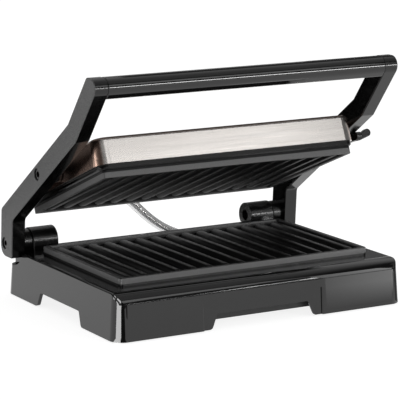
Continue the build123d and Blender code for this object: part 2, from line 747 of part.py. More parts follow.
def make_top_cover():
    """Pressed metal lid of the head: drafted sides, rounded top edge, open below."""
    top = cover_base + top_cover_height
    outer = tapered_block(top_cover_width, top_cover_depth, top_cover_corner_radius,
                          cover_base, top, top_cover_draft)
    outer = fillet(outer.edges().group_by(Axis.Z)[-1], top_cover_edge_radius)
    inner = tapered_block(top_cover_width - 2 * sheet_thickness, top_cover_depth - 2 * sheet_thickness,
                          top_cover_corner_radius - sheet_thickness, cover_base, top - sheet_thickness,
                          top_cover_draft)
    inner = fillet(inner.edges().group_by(Axis.Z)[-1], top_cover_edge_radius - sheet_thickness)
    lid = outer - inner
    lid = lid - rod_x(pivot_screw_diameter / 2 + pin_clearance, pivot_behind_middle, pivot_above_rim,
                      -top_cover_width, top_cover_width)
    gland_hole = Pos(conduit_head_x, top_cover_depth / 2, conduit_head_height) * Rot(90, 0, 0) * Cylinder(
        conduit_diameter / 2, 4 * top_cover_edge_radius)
    lid = lid - gland_hole
    for x, y in lamp_places():
        lid = lid - Pos(x, y, top) * Cylinder(lamp_diameter / 2, 4 * sheet_thickness)
    return lid


def lamp_places():
    """Two lamps side by side near the front of the cover's top."""
    y = -top_cover_depth / 2 + lamp_from_front
    return [(-lamp_spacing / 2, y), (lamp_spacing / 2, y)]


def lamp_lens(place):
    """Domed lens in the cover's top with a flange inside."""
    top = cover_base + top_cover_height
    stem = Cylinder(lamp_diameter / 2, 2 * sheet_thickness, align=(Align.CENTER, Align.CENTER, Align.MIN))
    stem = fillet(stem.edges().group_by(Axis.Z)[-1], lamp_edge_radius)
    flange = Cylinder(lamp_diameter / 2 + sheet_thickness, sheet_thickness,
                      align=(Align.CENTER, Align.CENTER, Align.MAX))
    return Pos(place[0], place[1], top - sheet_thickness) * (stem + flange)


def make_pivot_bracket():
    """Steel angle inside the head that carries the pivot screw."""
    outer = bracket_outer_x()
    plate = Pos(outer, pivot_behind_middle, cover_base) * Box(
        bracket_thickness, bracket_length, bracket_height, align=(Align.MAX, Align.CENTER, Align.MIN))
    plate = fillet(plate.edges().filter_by(Axis.X).group_by(Axis.Z)[-1], 2 * bracket_thickness)
    return plate - rod_x(pivot_thread_diameter / 2, pivot_behind_middle, pivot_above_rim,
                         outer - bracket_thickness, outer)


def conduit_head_exit(reach):
    """Point on the conduit's line out of the head's rear wall."""
    wall = top_cover_depth / 2 - draft_inset(conduit_head_height - cover_base, top_cover_draft)
    spot = (head_place * Pos(conduit_head_x, wall, conduit_head_height)).position
    return spot + Vector(*conduit_head_direction).normalized() * reach


def conduit_base_exit(reach):
    """Point on the conduit's line out of the base's rear wall."""
    wall = base_depth / 2 - draft_inset(conduit_base_height - foot_proud, wall_draft)
    spot = Vector(conduit_base_x, wall, conduit_base_height)
    return spot + Vector(*conduit_base_direction).normalized() * reach


def conduit_route():
    """Points of the conduit from the head's ferrule to the base's."""
    head_end = [conduit_head_exit(conduit_head_reach),
                conduit_head_exit(conduit_head_reach + conduit_head_run)]
    base_end = [conduit_base_exit(conduit_base_reach + conduit_base_run),
                conduit_base_exit(conduit_base_reach)]
    return head_end + [Vector(*point) for point in conduit_points] + base_end


def conduit_tube(points):
    """Tube of straight runs and the largest tangent arcs that fit."""
    radii = []
    for before, here, after in zip(points, points[1:], points[2:]):
        turn = (here - before).get_angle(after - here)
        run = min((here - before).length, (after - here).length)
        radii.append(conduit_bend_ratio * run / tan(radians(turn / 2)))
    return tube(FilletPolyline(*points, radius=radii), conduit_diameter)


def conduit_halves():
    """The head's and the base's halves, which meet face to face in the middle of one run."""
    route = conduit_route()
    upper_route = route[:conduit_upper_count]
    lower_route = route[conduit_upper_count:]
    middle = (upper_route[-1] + lower_route[0]) / 2
    upper = conduit_tube(upper_route + [middle])
    lower = conduit_tube([middle] + lower_route)
    return upper, lower


def slanted_gland(spot, outwards, direction, reach):
    """Round flange flat on a wall, with a slanted ferrule for the conduit."""
    wall = Plane(origin=spot, z_dir=outwards)
    flange = extrude(wall * Circle(gland_flange_diameter / 2), gland_flange_height)
    line = Plane(origin=spot, z_dir=direction)
    ferrule = extrude(line * Circle(conduit_ferrule_diameter / 2), reach)
    root = extrude(line * Circle(conduit_ferrule_diameter / 2), -conduit_ferrule_diameter)
    outside = extrude(wall * Circle(4 * gland_flange_diameter), 4 * gland_flange_diameter)
    return flange + ((ferrule + root) & outside)


def make_head_conduit_gland():
    """Gland on the head's rear wall."""
    outwards = (head_place * Rot(top_cover_draft, 0, 0) * Pos(0, 1, 0)).position - head_place.position
    return slanted_gland(conduit_head_exit(0), outwards, conduit_head_direction, conduit_head_reach)


def make_base_conduit_gland():
    """Gland on the base's rear wall."""
    outwards = (Rot(wall_draft, 0, 0) * Pos(0, 1, 0)).position
    return slanted_gland(conduit_base_exit(0), outwards, conduit_base_direction, conduit_base_reach)


def make_cord_gland():
    """Mains inlet bush in the rear wall: a flange outside and a collar inside."""
    wall = base_depth / 2 - draft_inset(cord_gland_height - foot_proud, wall_draft)
    place = Pos(cord_gland_x, wall, cord_gland_height) * Rot(-90, 0, 0)
    outside = Cylinder(cord_gland_diameter / 2 + housing_wall / 2, cord_gland_length / 2,
                       align=(Align.CENTER, Align.CENTER, Align.MIN))
    outside = fillet(outside.edges().group_by(Axis.Z)[-1], housing_wall / 2)
    tilt = draft_inset(cord_gland_diameter, wall_draft)
    inside = Cylinder(cord_gland_diameter / 2, cord_gland_length,
                      align=(Align.CENTER, Align.CENTER, Align.CENTER))
    bore = Cylinder(cord_gland_bore / 2, 4 * cord_gland_length)
    outside = place * Pos(0, 0, tilt) * outside
    return outside + place * inside - place * bore


def in_base(part):
    """Lower plate group set on the deck."""
    return Pos(0, plate_y, rim_height) * part


def in_head(part):
    """Piece of the head moved from the head's frame to its open place."""
    return head_place * part


def turned_over(part):
    """Plate group turned rim down for the head."""
    return Rot(180, 0, 0) * part


conduit_upper, conduit_lower = conduit_halves()
hinge_knuckle = make_hinge_knuckle()
hinge_collar = make_hinge_collar()
hinge_pin = make_hinge_pin()
arm = make_arm()
pivot_bush = make_pivot_bush()
pivot_bracket = make_pivot_bracket()
lens_left, lens_right = [lamp_lens(place) for place in lamp_places()]
plate = grill_plate()
heater = heating_element()
sheet = reflector()
disc = thermostat()

nodes = {
    "base_housing": make_base_housing(),
    "base_feet": make_base_feet(),
    "bottom_cover": make_bottom_cover(),
    "bottom_cover_screws": make_bottom_cover_screws(),
    "lower_grill_plate": in_base(plate),
    "lower_plate_screws": [in_base(screw) for screw in plate_screws()],
    "lower_heating_element": in_base(heater),
    "lower_reflector": in_base(sheet),
    "lower_thermostat": in_base(disc),
    "terminal_block": make_terminal_block(),
    "hinge_knuckle_left": mirrored(hinge_knuckle),
    "hinge_knuckle_right": hinge_knuckle,
    "cord_gland": make_cord_gland(),
    "base_conduit_gland": make_base_conduit_gland(),
    "conduit_lower": conduit_lower,
    "arm_left": mirrored(arm),
    "arm_right": arm,
    "handle_bar": make_handle_bar(),
    "hinge_pin_left": mirrored(hinge_pin),
    "hinge_pin_right": hinge_pin,
    "hinge_collar_left": mirrored(hinge_collar),
    "hinge_collar_right": hinge_collar,
    "pivot_bush_left": mirrored(pivot_bush),
    "pivot_bush_right": pivot_bush,
    "lock_lever": make_lock_lever(),
    "top_cover": in_head(make_top_cover()),
    "head_bezel": in_head(make_head_bezel()),
    "upper_grill_plate": in_head(turned_over(plate)),
    "upper_plate_screws": [in_head(turned_over(screw)) for screw in plate_screws()],
    "upper_heating_element": in_head(turned_over(heater)),
    "upper_reflector": in_head(turned_over(sheet)),
    "upper_thermostat": in_head(turned_over(disc)),
    "pivot_bracket_left": in_head(mirrored(pivot_bracket)),
    "pivot_bracket_right": in_head(pivot_bracket),
    "pivot_screw_left": mirrored(make_pivot_screw(arm_outer_x - screw_recess_depth)),
    "pivot_screw_right": make_pivot_screw(arm_outer_x + 2 * running_gap + lever_thickness),
    "power_lamp": in_head(lens_left),
    "ready_lamp": in_head(lens_right),
    "head_conduit_gland": make_head_conduit_gland(),
    "conduit_upper": conduit_upper,
}


def rounded(place):
    """A place's coordinates, for the build's printout."""
    return [round(value, 3) for value in place.position]


pieces = {}
for name, shape in nodes.items():
    shapes = shape if isinstance(shape, list) else [shape]
    solids = [solid for piece in shapes for solid in piece.solids()]
    pieces[name] = solids[0] if len(solids) == 1 else Compound(solids)

box = Compound(list(pieces.values())).bounding_box()
to_frame = Pos(-box.center().X, -box.center().Y, -box.min.Z)

os.makedirs("parts", exist_ok=True)
for name, piece in pieces.items():
    export_step(to_frame * piece, f"parts/{name}.step")

print("size", round(box.size.X, 2), round(box.size.Y, 2), round(box.size.Z, 2))
print("moved by", rounded(to_frame))
print("hinge", rounded(to_frame * Pos(0, hinge_y, hinge_z)))
print("pivot", rounded(to_frame * Pos(0, pivot_y, pivot_z)))
print("closed arm angle", round(closed_angle - pivot_rest_angle, 3))
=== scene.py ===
import json
import math

import bmesh
import bpy
from mathutils import Matrix, Vector


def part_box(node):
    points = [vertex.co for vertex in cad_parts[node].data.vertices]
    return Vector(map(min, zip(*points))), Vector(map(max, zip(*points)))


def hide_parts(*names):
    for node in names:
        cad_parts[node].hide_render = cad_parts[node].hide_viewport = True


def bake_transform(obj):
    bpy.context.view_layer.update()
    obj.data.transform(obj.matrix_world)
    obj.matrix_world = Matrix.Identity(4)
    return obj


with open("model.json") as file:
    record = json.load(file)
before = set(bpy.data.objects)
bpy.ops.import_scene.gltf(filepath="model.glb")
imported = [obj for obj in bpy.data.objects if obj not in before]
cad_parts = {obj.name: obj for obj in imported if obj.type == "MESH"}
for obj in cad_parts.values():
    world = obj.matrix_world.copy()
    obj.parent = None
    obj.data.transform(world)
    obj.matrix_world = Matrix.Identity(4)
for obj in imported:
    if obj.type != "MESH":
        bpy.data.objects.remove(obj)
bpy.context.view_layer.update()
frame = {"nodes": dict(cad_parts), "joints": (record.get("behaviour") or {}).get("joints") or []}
nodes = frame["nodes"]
scene = bpy.context.scene

# The part is drawn in millimetres about the middle of the base's footprint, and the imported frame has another
# origin. The arm hinge is known in both, and gives the shift.
MM = 0.001
HINGE_IN_DRAWING = Vector((0.0, 88.3, 45.0))
hinge_in_frame = next(Vector(joint["pos_m"]) for joint in frame["joints"] if joint["name"] == "arm_hinge")
drawing_shift = hinge_in_frame - HINGE_IN_DRAWING * MM


def place(x, y, z):
    """A point given in the drawing's millimetres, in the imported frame."""
    return Vector((x, y, z)) * MM + drawing_shift


# Materials

WHITE = (1.0, 1.0, 1.0)


def grey(value):
    """A grey as a colour."""
    return (value, value, value)


class Nodes:
    """The node tree of a material or of the world, with short calls for the nodes that they share."""

    def __init__(self, holder, shader="Principled BSDF"):
        holder.use_nodes = True
        self.holder = holder
        self.tree = holder.node_tree
        self.shader = self.tree.nodes[shader]

    def link(self, source, target):
        self.tree.links.new(source, target)

    def feed(self, socket, source):
        """Link a node's output to one of the shader's sockets."""
        self.link(source, self.shader.inputs[socket])

    def fix(self, socket, value):
        """Give one of the shader's sockets a uniform value."""
        self.shader.inputs[socket].default_value = value

    def coordinates(self, kind):
        """Texture coordinates of one kind."""
        return self.tree.nodes.new("ShaderNodeTexCoord").outputs[kind]

    def split(self, vector):
        """A vector's three parts."""
        node = self.tree.nodes.new("ShaderNodeSeparateXYZ")
        self.link(vector, node.inputs[0])
        return node.outputs

    def turned(self, vector, angle):
        """A vector turned about the x axis, as its three parts."""
        node = self.tree.nodes.new("ShaderNodeVectorRotate")
        node.rotation_type = "X_AXIS"
        node.inputs["Angle"].default_value = angle
        self.link(vector, node.inputs["Vector"])
        return self.split(node.outputs["Vector"])

    def noise(self, scale, detail=3.0, roughness=0.55, stretch=(1.0, 1.0, 1.0)):
        """Noise in object space. scale is in features per metre."""
        mapping = self.tree.nodes.new("ShaderNodeMapping")
        mapping.inputs["Scale"].default_value = stretch
        self.link(self.coordinates("Object"), mapping.inputs["Vector"])
        texture = self.tree.nodes.new("ShaderNodeTexNoise")
        texture.inputs["Scale"].default_value = scale
        texture.inputs["Detail"].default_value = detail
        texture.inputs["Roughness"].default_value = roughness
        self.link(mapping.outputs["Vector"], texture.inputs["Vector"])
        return texture.outputs["Fac"]

    def spread(self, value, low=0.0, high=1.0, from_low=0.3, from_high=0.7):
        """A value stretched from one range to another. The default range to stretch suits noise."""
        node = self.tree.nodes.new("ShaderNodeMapRange")
        node.inputs["From Min"].default_value = from_low
        node.inputs["From Max"].default_value = from_high
        node.inputs["To Min"].default_value = low
        node.inputs["To Max"].default_value = high
        self.link(value, node.inputs["Value"])
        return node.outputs["Result"]

    def rise(self, value, start, end):
        """0 up to a start and 1 from an end on."""
        return self.spread(value, from_low=start, from_high=end)

    def uneven(self, rough):
        """A roughness that wanders between two values."""
        return self.spread(self.noise(scale=160.0, detail=5.0, roughness=0.65), *rough)

    def compute(self, operation, first, second=0.0):
        """One sum. second is a number or another node's output."""
        node = self.tree.nodes.new("ShaderNodeMath")
        node.operation = operation
        self.link(first, node.inputs[0])
        if isinstance(second, float):
            node.inputs[1].default_value = second
        else:
            self.link(second, node.inputs[1])
        return node.outputs[0]

    def mix(self, share, first, second, kind="RGBA"):
        """Between two colours, or two values where kind is FLOAT. Each is fixed or another node's output."""
        node = self.tree.nodes.new("ShaderNodeMix")
        node.data_type = kind
        for socket, source in (("A", first), ("B", second)):
            if isinstance(source, tuple):
                node.inputs[socket].default_value = (*source, 1.0)
            else:
                self.link(source, node.inputs[socket])
        self.link(share, node.inputs["Factor"])
        return node.outputs["Result"]

    def bump(self, height, strength, distance):
        """Fine relief. distance is its depth in metres."""
        node = self.tree.nodes.new("ShaderNodeBump")
        node.inputs["Strength"].default_value = strength
        node.inputs["Distance"].default_value = distance
        self.link(height, node.inputs["Height"])
        self.feed("Normal", node.outputs["Normal"])

    def rays(self, *kinds):
        """1 for rays of these kinds, otherwise 0."""
        path = self.tree.nodes.new("ShaderNodeLightPath")
        value = path.outputs[kinds[0]]
        for kind in kinds[1:]:
            value = self.compute("MAXIMUM", value, path.outputs[kind])
        return value

    def ramp(self, value, stops):
        """Grey by a value, from pairs of value and brightness."""
        node = self.tree.nodes.new("ShaderNodeValToRGB")
        elements = node.color_ramp.elements
        while len(elements) < len(stops):
            elements.new(0.5)
        for element, (position, brightness) in zip(elements, stops):
            element.position = position
            element.color = (*grey(brightness), 1.0)
        self.link(value, node.inputs["Fac"])
        return node.outputs["Color"]


def new_material(name):
    return Nodes(bpy.data.materials.new(name))


def moulded(name, dark, light, rough, grain, depth, specular=0.5):
    """Moulded plastic: faint cloudiness in the colour, uneven gloss and a fine surface grain."""
    m = new_material(name)
    cloud = m.noise(scale=55.0, detail=4.0)
    m.feed("Base Color", m.mix(m.spread(cloud), dark, light))
    m.feed("Roughness", m.uneven(rough))
    m.bump(m.noise(grain, detail=2.0), strength=0.35, distance=depth)
    m.fix("Specular IOR Level", specular)
    return m.holder


def arm_plastic(name, faces, gloss_rough, grain_rough):
    """Glossy black plastic whose outer face has a fine grain. The grain is the plastic's own, but its grey is
    painted light, a painted sheen for the light that falls on that face. faces are the arms' outer faces, in
    x.
    """
    m = new_material(name)
    across = m.split(m.coordinates("Object"))["X"]
    from_middle = m.compute("ABSOLUTE", m.compute("SUBTRACT", across, sum(faces) / 2))
    reach = abs(faces[1] - faces[0]) / 2
    outer = m.rise(from_middle, start=reach - 1.0 * MM, end=reach - 0.3 * MM)
    speckle = m.noise(scale=1500.0, detail=2.0, roughness=0.7)
    cloud = m.noise(scale=60.0, detail=4.0)
    # The speckle is the plastic's own grain; its grey is a painted sheen.
    grain_and_painted_sheen = m.mix(m.rise(speckle, start=0.42, end=0.72), grey(0.018), grey(0.20))
    black = m.mix(m.spread(cloud), grey(0.0015), grey(0.003))
    m.feed("Base Color", m.mix(outer, black, grain_and_painted_sheen))
    m.feed("Roughness", m.mix(outer, m.uneven(gloss_rough), m.spread(speckle, *grain_rough), "FLOAT"))
    m.bump(m.compute("MULTIPLY", speckle, outer), strength=0.3, distance=0.00008)
    m.fix("Specular IOR Level", 0.5)
    return m.holder


RIM_DEPTH = 4.0 * MM
RIM_HEIGHT = 4.6 * MM
RIM_BLEND = 0.4 * MM


def plate_coating(name, plate, tilt, face, rim_grey, rough, specular):
    """Dark non-stick coating of a cast plate, paler on the outer side of its rim. tilt is its lean, and face
    is 1 where it looks up and -1 where it looks down."""
    m = new_material(name)
    turn = Matrix.Rotation(tilt, 3, "X")
    corners = [turn @ vertex.co for vertex in nodes[plate].data.vertices]
    low = [min(corner[axis] for corner in corners) for axis in range(3)]
    high = [max(corner[axis] for corner in corners) for axis in range(3)]
    spot = m.turned(m.coordinates("Object"), tilt)
    facing = m.turned(m.coordinates("Normal"), tilt)
    bands = []
    for axis, letter in enumerate("XY"):
        middle = (low[axis] + high[axis]) / 2
        side = (high[axis] - low[axis]) / 2 - RIM_DEPTH
        outwards = m.compute("ABSOLUTE", m.compute("SUBTRACT", spot[letter], middle))
        near_side = m.rise(outwards, side, side + RIM_BLEND)
        upright = m.rise(m.compute("ABSOLUTE", facing[letter]), start=0.55, end=0.85)
        bands.append(m.compute("MULTIPLY", near_side, upright))
    height = m.compute("MULTIPLY", spot["Z"], float(face))
    rim_foot = (high[2] if face > 0 else -low[2]) - RIM_HEIGHT
    in_band = m.rise(height, rim_foot, rim_foot + RIM_BLEND)
    pale_rim = m.compute("MULTIPLY", m.compute("MAXIMUM", *bands), in_band)
    speck = m.spread(m.noise(scale=1800.0, roughness=0.7))
    dark = m.mix(speck, grey(0.003), grey(0.008))
    pale = m.mix(speck, grey(rim_grey), grey(1.5 * rim_grey))
    m.feed("Base Color", m.mix(pale_rim, dark, pale))
    m.feed("Roughness", m.uneven(rough))
    m.bump(m.noise(scale=2200.0, detail=2.0), strength=0.35, distance=0.00012)
    m.fix("Specular IOR Level", specular)
    return m.holder


def satin_metal(name, tilt, face, end, edge, rough):
    """Pressed sheet with a satin coloured finish, brushed faintly along its length. Its ends are painted
    browner, as painted shade, and the rolled edge round its top is painted dark brown, as a painted dark
    reflection. tilt is its lean, and the colours are pairs."""
    m = new_material(name)
    brushed = m.noise(scale=900.0, roughness=0.6, stretch=(0.02, 1.0, 1.0))
    streaks = m.noise(scale=260.0, roughness=0.6, stretch=(0.05, 1.0, 1.0))
    facing = m.turned(m.coordinates("Normal"), tilt)
    # Painted shade: the ends are painted browner than the face.
    end_shade_mask = m.rise(m.compute("ABSOLUTE", facing["X"]), start=0.45, end=0.65)
    # Painted dark reflection: the rolled edge round the top is painted dark brown.
    above_side = m.rise(facing["Z"], start=0.25, end=0.40)
    below_top = m.spread(facing["Z"], low=1.0, high=0.0, from_low=0.90, from_high=0.97)
    edge_reflection_mask = m.compute("MULTIPLY", above_side, below_top)
    face_colour, end_shade_colour, edge_reflection_colour = (m.mix(m.spread(brushed), *pair) for pair in (face, end, edge))
    face_and_end_shade_colour = m.mix(end_shade_mask, face_colour, end_shade_colour)
    m.feed("Base Color", m.mix(edge_reflection_mask, face_and_end_shade_colour, edge_reflection_colour))
    m.feed("Roughness", m.spread(streaks, *rough))
    m.bump(brushed, strength=0.06, distance=0.00001)
    m.fix("Metallic", 1.0)
    return m.holder


def plain_metal(name, dark, light, rough, scale=400.0):
    """Bare metal with uneven polish."""
    m = new_material(name)
    uneven = m.noise(scale, detail=4.0, roughness=0.6)
    m.feed("Base Color", m.mix(m.spread(uneven), dark, light))
    m.feed("Roughness", m.spread(uneven, *rough))
    m.bump(uneven, strength=0.15, distance=0.00003)
    m.fix("Metallic", 1.0)
    return m.holder


def lens(name, dark, light):
    """Coloured clear lens of a lamp."""
    m = new_material(name)
    m.feed("Base Color", m.mix(m.spread(m.noise(scale=300.0)), dark, light))
    m.feed("Roughness", m.spread(m.noise(scale=500.0), low=0.06, high=0.14))
    m.fix("Transmission Weight", 0.35)
    return m.holder


HEAD_TILT = math.radians(21.84)
arm_faces = (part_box("arm_left")[0][0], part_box("arm_right")[1][0])
# Plastics: two colours, the range of roughness, the grain per metre and its depth, and the shine
gloss_black = moulded("gloss_black", grey(0.0012), grey(0.0028), (0.05, 0.10), 1400.0, 0.000006, 0.6)
bezel_black = moulded("bezel_black", grey(0.0012), grey(0.0028), (0.08, 0.16), 1400.0, 0.000006, 0.18)
# The arms' outer faces carry a painted grey sheen over their real grain.
arm_black = arm_plastic("arm_black", arm_faces, gloss_rough=(0.10, 0.18), grain_rough=(0.34, 0.46))
lever_black = moulded("lever_black", grey(0.003), grey(0.006), (0.24, 0.34), 2200.0, 0.00003)
under_black = moulded("under_black", grey(0.007), grey(0.013), (0.45, 0.6), 1800.0, 0.00006)
hinge_black = moulded("hinge_black", grey(0.002), grey(0.005), (0.20, 0.30), 2000.0, 0.00003)
rubber = moulded("rubber", grey(0.014), grey(0.022), (0.7, 0.85), 1500.0, 0.00008, 0.3)
terminal_white = moulded("terminal_white", (0.70, 0.69, 0.66), (0.78, 0.77, 0.74),
                         (0.4, 0.5), 1500.0, 0.00004)
lower_coating = plate_coating("lower_coating", "lower_grill_plate", tilt=0.0, face=1,
                              rim_grey=0.10, rough=(0.28, 0.40), specular=0.36)
upper_coating = plate_coating("upper_coating", "upper_grill_plate", tilt=HEAD_TILT, face=-1,
                              rim_grey=0.095, rough=(0.44, 0.54), specular=0.2)
# The end colours are painted shade, and the edge colours are a painted dark reflection.
champagne = satin_metal("champagne", HEAD_TILT,
                        face=((0.74, 0.70, 0.665), (0.80, 0.765, 0.735)),
                        end=((0.33, 0.22, 0.175), (0.40, 0.28, 0.225)),
                        edge=((0.09, 0.065, 0.055), (0.13, 0.095, 0.08)),
                        rough=(0.20, 0.27))
# Metals: two colours and the range of roughness
steel = plain_metal("steel", grey(0.52), grey(0.64), (0.22, 0.36))
dark_steel = plain_metal("dark_steel", grey(0.05), grey(0.09), (0.18, 0.30))
heater_sheath = plain_metal("heater_sheath", (0.20, 0.18, 0.16), (0.32, 0.29, 0.26), (0.35, 0.5))
bright_sheet = plain_metal("bright_sheet", grey(0.76), grey(0.84), (0.12, 0.24))
hose_metal = plain_metal("hose_metal", grey(0.70), grey(0.80), (0.14, 0.24), scale=900.0)
red_lens = lens("red_lens", (0.42, 0.02, 0.015), (0.52, 0.03, 0.02))
green_lens = lens("green_lens", (0.03, 0.26, 0.06), (0.05, 0.34, 0.08))

node_materials = {
    gloss_black: ["base_housing", "handle_bar"],
    bezel_black: ["head_bezel"],
    arm_black: ["arm_left", "arm_right"],
    lever_black: ["lock_lever"],
    under_black: ["bottom_cover", "cord_gland", "base_conduit_gland", "head_conduit_gland"],
    hinge_black: ["hinge_knuckle_left", "hinge_knuckle_right", "hinge_collar_left", "hinge_collar_right",
                  "pivot_bush_left", "pivot_bush_right"],
    rubber: ["base_feet"],
    lower_coating: ["lower_grill_plate"],
    upper_coating: ["upper_grill_plate"],
    terminal_white: ["terminal_block"],
    champagne: ["top_cover"],
    steel: ["bottom_cover_screws", "lower_plate_screws", "upper_plate_screws", "pivot_bracket_left",
            "pivot_bracket_right", "lower_thermostat", "upper_thermostat"],
    dark_steel: ["hinge_pin_left", "hinge_pin_right", "pivot_screw_left", "pivot_screw_right"],
    heater_sheath: ["lower_heating_element", "upper_heating_element"],
    bright_sheet: ["lower_reflector", "upper_reflector"],
    hose_metal: ["conduit_lower", "conduit_upper"],
    red_lens: ["power_lamp"],
    green_lens: ["ready_lamp"],
}
for material, names in node_materials.items():
    for name in names:
        mesh = nodes[name].data
        mesh.materials.clear()
        mesh.materials.append(material)


# Small rounded edges on the moulded and pressed pieces

WELD_DISTANCE = 1e-6
SHARP_ANGLE = math.radians(32.0)
EDGE_SEGMENTS = 2
EDGE_WIDTHS = {
    "base_housing": 0.45 * MM,
    "bottom_cover": 0.4 * MM,
    "head_bezel": 0.35 * MM,
    "lower_grill_plate": 0.35 * MM,
    "upper_grill_plate": 0.35 * MM,
    "cord_gland": 0.4 * MM,
    "base_conduit_gland": 0.4 * MM,
    "head_conduit_gland": 0.4 * MM,
}


def soften(piece, width):
    """Round a piece's sharp edges with modifiers, so that they catch the light."""
    weld = piece.modifiers.new("weld", "WELD")
    weld.merge_threshold = WELD_DISTANCE
    bevel = piece.modifiers.new("edges", "BEVEL")
    bevel.width = width
    bevel.segments = EDGE_SEGMENTS
    bevel.limit_method = "ANGLE"
    bevel.angle_limit = SHARP_ANGLE
    bevel.harden_normals = True
    bevel.miter_outer = "MITER_ARC"


for name, width in EDGE_WIDTHS.items():
    soften(nodes[name], width)


# Conduit: a fine-ribbed metal hose from the head to the base, in two halves that meet in the middle

HOSE_ROUTE = [place(-42.0, 97.465, 83.105), place(-32.0, 113.54, 76.67), place(-8.0, 126.0, 68.5),
              place(22.0, 123.0, 38.0), place(46.0, 115.16, 26.33), place(58.14, 105.55, 22.287)]
ROUTE_STEPS = 40
HOSE_RADIUS = 4.25 * MM
HOSE_SIDES = 28
RIB_PITCH = 1.7 * MM
RIB_DEPTH = 0.45 * MM
RINGS_PER_RIB = 6
GROOVE_NARROWING = 1.5


def spline_points(route):
    """Points along the smooth curve that has the route as its control points."""
    curve = bpy.data.curves.new("route", "CURVE")
    curve.dimensions = "3D"
    curve.resolution_u = ROUTE_STEPS
    spline = curve.splines.new("NURBS")
    spline.points.add(len(route) - 1)
    for point, spot in zip(spline.points, route):
        point.co = (*spot, 1.0)
    spline.order_u = 3
    spline.use_endpoint_u = True
    holder = bpy.data.objects.new("route", curve)
    mesh = bpy.data.meshes.new_from_object(holder)
    points = [vertex.co.copy() for vertex in mesh.vertices]
    bpy.data.objects.remove(holder)
    bpy.data.curves.remove(curve)
    bpy.data.meshes.remove(mesh)
    return points


def even_points(points, pitch, per_pitch):
    """Points at even steps along a line of points: so many for each whole pitch that fits."""
    lengths = [0.0]
    for before, after in zip(points, points[1:]):
        lengths.append(lengths[-1] + (after - before).length)
    count = round(lengths[-1] / pitch) * per_pitch
    result = []
    index = 0
    for step in range(count + 1):
        target = lengths[-1] * step / count
        while index < len(points) - 2 and lengths[index + 1] < target:
            index += 1
        share = (target - lengths[index]) / (lengths[index + 1] - lengths[index])
        result.append(points[index].lerp(points[index + 1], share))
    return result


def hose_rings(spots):
    """Rings of points round the hose's line, swelling and narrowing with its ribs."""
    side = Vector((0.0, 0.0, 1.0))
    rings = []
    for index, spot in enumerate(spots):
        ahead = spots[min(index + 1, len(spots) - 1)] - spots[max(index - 1, 0)]
        ahead.normalize()
        side = (side - ahead * side.dot(ahead)).normalized()
        across = ahead.cross(side)
        turn = math.tau * index / RINGS_PER_RIB
        radius = HOSE_RADIUS - RIB_DEPTH * (0.5 - 0.5 * math.cos(turn)) ** GROOVE_NARROWING
        ring = []
        for corner in range(HOSE_SIDES):
            angle = math.tau * corner / HOSE_SIDES
            ring.append(spot + (side * math.cos(angle) + across * math.sin(angle)) * radius)
        rings.append(ring)
    return rings


def tube_piece(name, rings):
    """Closed tube through rings of points."""
    mesh = bmesh.new()
    loops = [[mesh.verts.new(point) for point in ring] for ring in rings]
    for lower, upper in zip(loops, loops[1:]):
        for corner in range(len(lower)):
            after = (corner + 1) % len(lower)
            mesh.faces.new((lower[corner], lower[after], upper[after], upper[corner]))
    mesh.faces.new(list(reversed(loops[0])))
    mesh.faces.new(loops[-1])
    bmesh.ops.recalc_face_normals(mesh, faces=mesh.faces)
    data = bpy.data.meshes.new(name)
    mesh.to_mesh(data)
    mesh.free()
    for polygon in data.polygons:
        polygon.use_smooth = len(polygon.vertices) == 4
    piece = bpy.data.objects.new(name, data)
    scene.collection.objects.link(piece)
    return piece


spots = even_points(spline_points(HOSE_ROUTE), RIB_PITCH, RINGS_PER_RIB)
rings = hose_rings(spots)
half = len(rings) // 2
for name, node, part, first, last, body_a, body_b in (
        ("hose_upper", "conduit_upper", rings[:half + 1], half, 0, "arms", "head"),
        ("hose_lower", "conduit_lower", rings[half:], len(rings) - 1, half, "base", "arms")):
    hose = tube_piece(name, part)
    hose.data.materials.append(hose_metal)
    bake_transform(hose)
    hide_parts(node)


# Camera at the photograph's angle

EYE = place(-883.2, -1534.9, 433.6)
YAW = math.radians(29.85)
PITCH = math.radians(11.20)
PHOTO_PIXELS = 400.0
FOCAL_PIXELS = 2195.3
SENSOR = 36.0

camera_data = bpy.data.cameras.new("camera")
camera_data.sensor_width = SENSOR
camera_data.lens = FOCAL_PIXELS / PHOTO_PIXELS * SENSOR
camera_data.clip_start = 0.1
camera_data.clip_end = 100.0
camera = bpy.data.objects.new("camera", camera_data)
camera.location = EYE
camera.rotation_euler = (math.pi / 2 - PITCH, 0.0, -YAW)
scene.collection.objects.link(camera)
scene.camera = camera


# Floor and world

AMBIENT = 0.7
FLOOR_HALF = 9.0
FLOOR_LIGHT_GREY = 0.86
# The share of the floor's white that comes from light falling on it, so that the press's shadow can dim it
FLOOR_SHADOW_SHARE = 0.3
# Pairs of the height that a mirror looks to, from level at 0 to straight up at 1, and the brightness there
BACKDROP_BEHIND = [(0.0, 1.0), (0.08, 0.9), (0.17, 0.2), (0.30, 0.14), (0.55, 0.75)]
ROOM_BEFORE = [(0.0, 0.45), (0.06, 0.35), (0.16, 0.12), (0.55, 0.06), (0.70, 0.45)]


